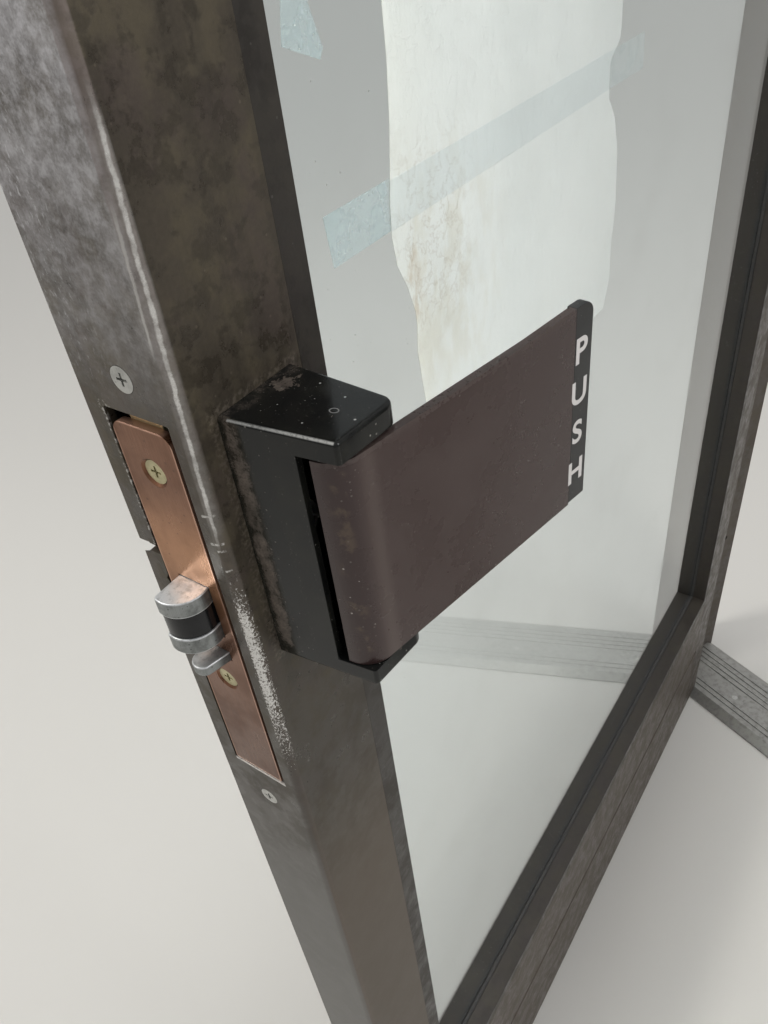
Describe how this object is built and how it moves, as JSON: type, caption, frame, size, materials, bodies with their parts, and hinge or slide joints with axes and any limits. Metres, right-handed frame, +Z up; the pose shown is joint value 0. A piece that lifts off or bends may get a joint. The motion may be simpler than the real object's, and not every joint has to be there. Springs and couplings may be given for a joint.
{
  "type": "glass door with frame",
  "caption": "narrow-stile aluminium glass door standing open in its frame, with a push paddle and a radius latch bolt",
  "frame": {"origin": "the finished floor under the middle of the threshold, in the plane of the closed leaf's inside face", "axes": "X along the wall from the strike jamb to the hinge jamb, +Y outdoors, the way the leaf opens, +Z up"},
  "size_m": [0.9082, 0.8794, 2.1988],
  "materials": {
    "bronze_extrusion": "dark bronze anodising, worn and dusty",
    "mill_aluminium": "mill finish",
    "seal_rubber": "black extruded rubber",
    "bronze_plate": "satin bronze plating on steel",
    "hinge_steel": "dark bronze paint on steel",
    "zinc_steel": "bright zinc plating",
    "yellow_zinc": "yellow zinc plating",
    "window_glass": "clear float glass",
    "housing_black": "black semi-gloss paint on cast metal",
    "paddle_bronze": "dark bronze anodising, smooth",
    "cap_black": "black moulded plastic",
    "bolt_steel": "stainless, worn",
    "bolt_black": "blackened steel",
    "cylinder_bronze": "dark bronze plating",
    "notice_paper": "weathered blank paper",
    "clear_tape": "clear adhesive tape"
  },
  "bodies": {
    "frame": {"strike_jamb": "bronze_extrusion", "hinge_jamb": "bronze_extrusion", "header": "bronze_extrusion", "header_clips": "mill_aluminium", "threshold": "mill_aluminium", "strike_door_stop": "bronze_extrusion", "hinge_door_stop": "bronze_extrusion", "header_door_stop": "bronze_extrusion", "door_seals": "seal_rubber", "strike_plate": "bronze_plate", "frame_hinge_top": "hinge_steel", "frame_hinge_middle": "hinge_steel", "frame_hinge_bottom": "hinge_steel", "hinge_pins": "hinge_steel", "frame_screws": "zinc_steel", "frame_backup_plates": "zinc_steel"},
    "door_leaf": {"lock_stile": "bronze_extrusion", "hinge_stile": "bronze_extrusion", "top_rail": "bronze_extrusion", "bottom_rail": "bronze_extrusion", "kick_rail": "bronze_extrusion", "corner_brackets": "mill_aluminium", "tie_rods": "zinc_steel", "glass_pane": "window_glass", "setting_blocks": "seal_rubber", "glass_gaskets": "seal_rubber", "interior_lock_stop": "bronze_extrusion", "interior_hinge_stop": "bronze_extrusion", "interior_bottom_stop": "bronze_extrusion", "interior_top_stop": "bronze_extrusion", "exterior_lock_stop": "bronze_extrusion", "exterior_hinge_stop": "bronze_extrusion", "exterior_bottom_stop": "bronze_extrusion", "exterior_top_stop": "bronze_extrusion", "door_hinge_top": "hinge_steel", "door_hinge_middle": "hinge_steel", "door_hinge_bottom": "hinge_steel", "door_hinge_screws": "zinc_steel", "door_backup_plates": "zinc_steel", "faceplate": "bronze_plate", "faceplate_screws": "yellow_zinc", "mounting_brackets": "yellow_zinc", "bracket_screws": "zinc_steel", "lock_case": "zinc_steel", "paddle_housing": "housing_black", "housing_screws": "zinc_steel", "paddle_pin": "zinc_steel", "return_spring": "zinc_steel", "cylinder_body": "cylinder_bronze", "cylinder_ring": "cylinder_bronze", "lower_notice": "notice_paper", "upper_notice": "notice_paper", "notice_tape": "clear_tape"},
    "latch_bolt": {"latch_bolt_core": "bolt_black", "latch_bolt_side_plates": "bolt_steel"},
    "deadlatch_trigger": {"deadlatch_trigger": "bolt_steel"},
    "push_paddle": {"paddle": "paddle_bronze", "paddle_end_cap": "cap_black"},
    "drive_cam": {"drive_cam": "zinc_steel"},
    "cylinder_plug": {"cylinder_plug": "cylinder_bronze"}
  },
  "joints": [
    {"name": "door_swing", "type": "hinge", "parent": "frame", "child": "door_leaf", "pos_m": [0.408, 0.05195, 1], "axis": [0, 0, -1], "range_deg": [-68, 32]},
    {"name": "paddle_push", "type": "hinge", "parent": "door_leaf", "child": "push_paddle", "pos_m": [0.03277, 0.7539, 0.9695], "axis": [0, 0, 1], "range_deg": [0, 15], "stiffness_Nm_per_rad": 0.8, "springref_deg": -5.73},
    {"name": "bolt_slide", "type": "slide", "parent": "door_leaf", "child": "latch_bolt", "axis": [0.3746, -0.9272, 0], "range_m": [0, 0.0134]},
    {"name": "cam_turn", "type": "hinge", "parent": "door_leaf", "child": "drive_cam", "pos_m": [0.06547, 0.76107, 0.9697], "axis": [-0.9272, -0.3746, 0], "range_deg": [0, 65]},
    {"name": "trigger_slide", "type": "slide", "parent": "door_leaf", "child": "deadlatch_trigger", "axis": [0.3746, -0.9272, 0], "range_m": [0, 0.0106], "stiffness_N_per_m": 120, "springref_m": -0.004},
    {"name": "key_turn", "type": "hinge", "parent": "door_leaf", "child": "cylinder_plug", "pos_m": [0.06547, 0.76107, 0.9697], "axis": [0.9272, 0.3746, 0], "range_deg": [-110, 110]}
  ],
  "couplings": [
    {"joint": "bolt_slide", "follows": "paddle_push", "m_per_rad": 0.05042},
    {"joint": "cam_turn", "follows": "paddle_push", "ratio": 4.2494}
  ]
}
